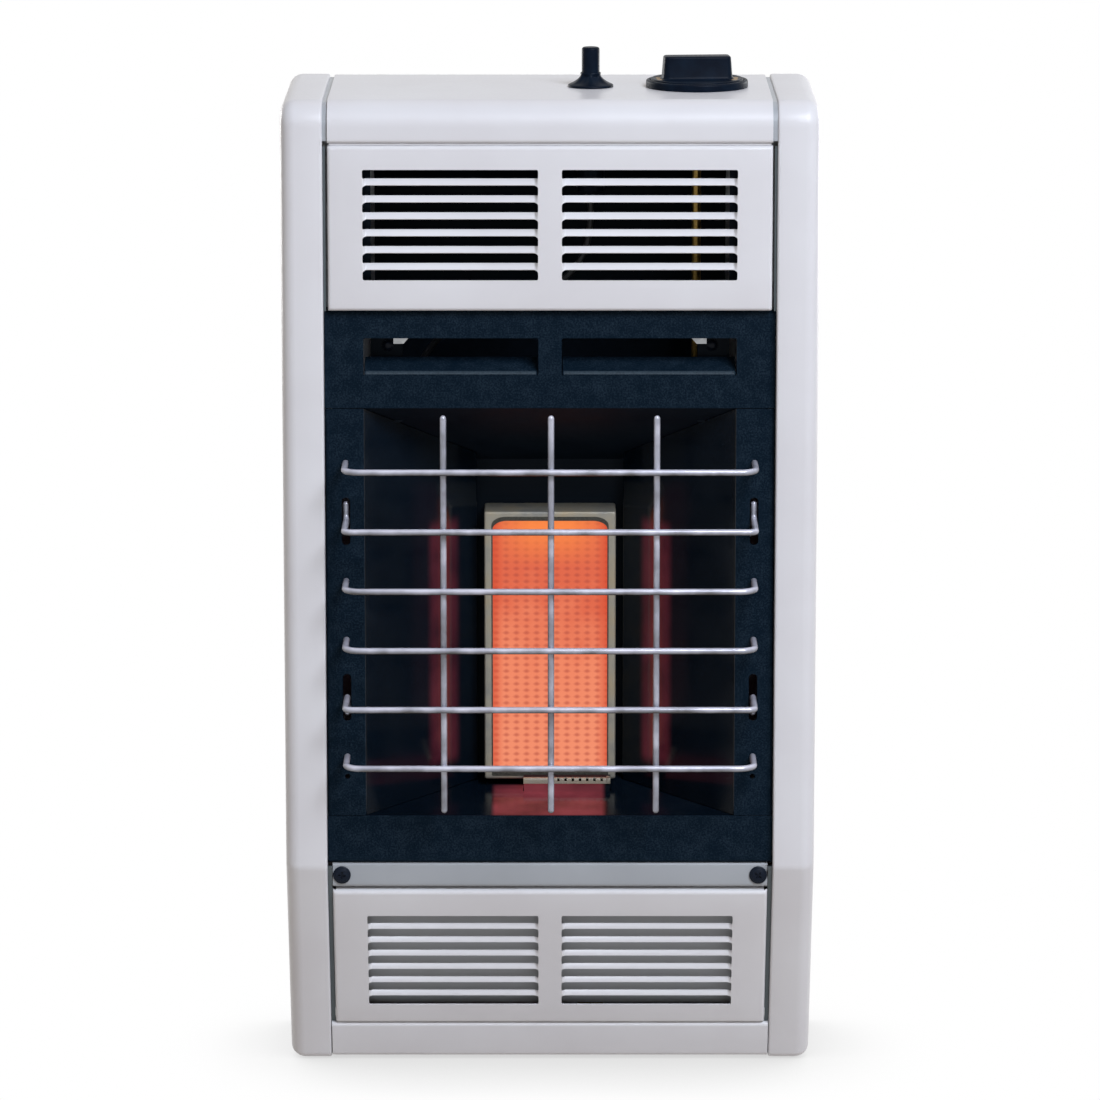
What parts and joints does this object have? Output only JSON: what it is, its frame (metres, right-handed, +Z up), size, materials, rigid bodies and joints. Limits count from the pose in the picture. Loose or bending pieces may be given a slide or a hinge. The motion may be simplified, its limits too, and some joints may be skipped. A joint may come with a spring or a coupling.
{
  "type": "wall mounted gas heater",
  "caption": "Infrared gas heater for a wall: louvred steel casing, black reflector with a glowing ceramic plaque, wire guard, gas control knob and push igniter.",
  "frame": {"origin": "middle of the hanging bracket's wall face", "axes": "+Z up, +Y into the wall, +X to the right of a person who faces the heater"},
  "size_m": [0.333, 0.1818, 0.65],
  "materials": {
    "casing_enamel": "baked enamel, warm white, satin",
    "black_texture": "black wrinkle coat, matt with a fine speckle",
    "reflector_black": "black heat proof enamel, half gloss",
    "coated_steel": "aluminised sheet steel, dull",
    "guard_wire": "bright plated wire",
    "plaque_ceramic": "perforated ceramic that glows orange in use",
    "bezel_steel": "heat stained sheet steel",
    "fibre_gasket": "pressed ceramic fibre",
    "brass": "turned brass",
    "cast_aluminium": "die cast, matt",
    "aluminium_tube": "drawn tube, satin",
    "spring_steel": "plated steel",
    "copper_lead": "copper capillary lead",
    "black_plastic": "moulded black phenolic",
    "black_screw": "black plated steel",
    "glazed_ceramic": "glazed insulator",
    "lead_rubber": "black silicone lead"
  },
  "bodies": {
    "root": {"left_side_panel": "casing_enamel", "right_side_panel": "casing_enamel", "top_panel": "casing_enamel", "upper_louvre_panel": "casing_enamel", "lower_louvre_panel": "casing_enamel", "lower_rail": "casing_enamel", "rail_screw_left": "black_screw", "rail_screw_right": "black_screw", "base_pan": "casing_enamel", "back_panel": "coated_steel", "wall_bracket": "coated_steel", "heat_shield": "reflector_black", "surround_header": "black_texture", "surround_left": "black_texture", "surround_right": "black_texture", "surround_sill": "black_texture", "guard_bar_1": "guard_wire", "guard_bar_2": "guard_wire", "guard_bar_3": "guard_wire", "guard_bar_4": "guard_wire", "guard_bar_5": "guard_wire", "guard_bar_6": "guard_wire", "guard_upright_1": "guard_wire", "guard_upright_2": "guard_wire", "guard_upright_3": "guard_wire", "reflector_hood": "reflector_black", "reflector_floor": "reflector_black", "reflector_left": "reflector_black", "reflector_right": "reflector_black", "reflector_back": "reflector_black", "plaque_frame": "bezel_steel", "ceramic_plaque": "plaque_ceramic", "plaque_gasket": "fibre_gasket", "burner_box": "coated_steel", "venturi": "coated_steel", "orifice_spud": "brass", "orifice_bracket": "coated_steel", "pilot_bracket": "coated_steel", "pilot_burner": "brass", "thermocouple": "spring_steel", "spark_electrode": "glazed_ceramic", "gas_valve": "cast_aluminium", "valve_bracket": "coated_steel", "regulator": "cast_aluminium", "inlet_fitting": "brass", "main_gas_tube": "aluminium_tube", "pilot_tube": "aluminium_tube", "thermocouple_lead": "copper_lead", "return_spring": "spring_steel", "knob_bezel": "black_plastic", "igniter_body": "black_plastic", "igniter_lock_nut": "black_plastic", "igniter_collar": "black_plastic", "electrode_lead": "lead_rubber"},
    "push_collar": {"spring_collar": "spring_steel"},
    "knob": {"control_knob": "black_plastic", "extension_rod": "brass", "rod_coupling": "brass"},
    "igniter": {"igniter_button": "black_plastic"}
  },
  "joints": [
    {"name": "knob_push", "type": "slide", "parent": "root", "child": "push_collar", "axis": [0, 0, -1], "range_m": [0, 0.003], "stiffness_N_per_m": 1200, "springref_m": -0.004, "deforming": ["return_spring"]},
    {"name": "knob_turn", "type": "hinge", "parent": "push_collar", "child": "knob", "pos_m": [0.0922, -0.07, 0.065], "axis": [0, 0, 1], "range_deg": [-225, 0]},
    {"name": "igniter_press", "type": "slide", "parent": "root", "child": "igniter", "axis": [0, 0, -1], "range_m": [0, 0.008], "stiffness_N_per_m": 300, "springref_m": -0.004}
  ]
}
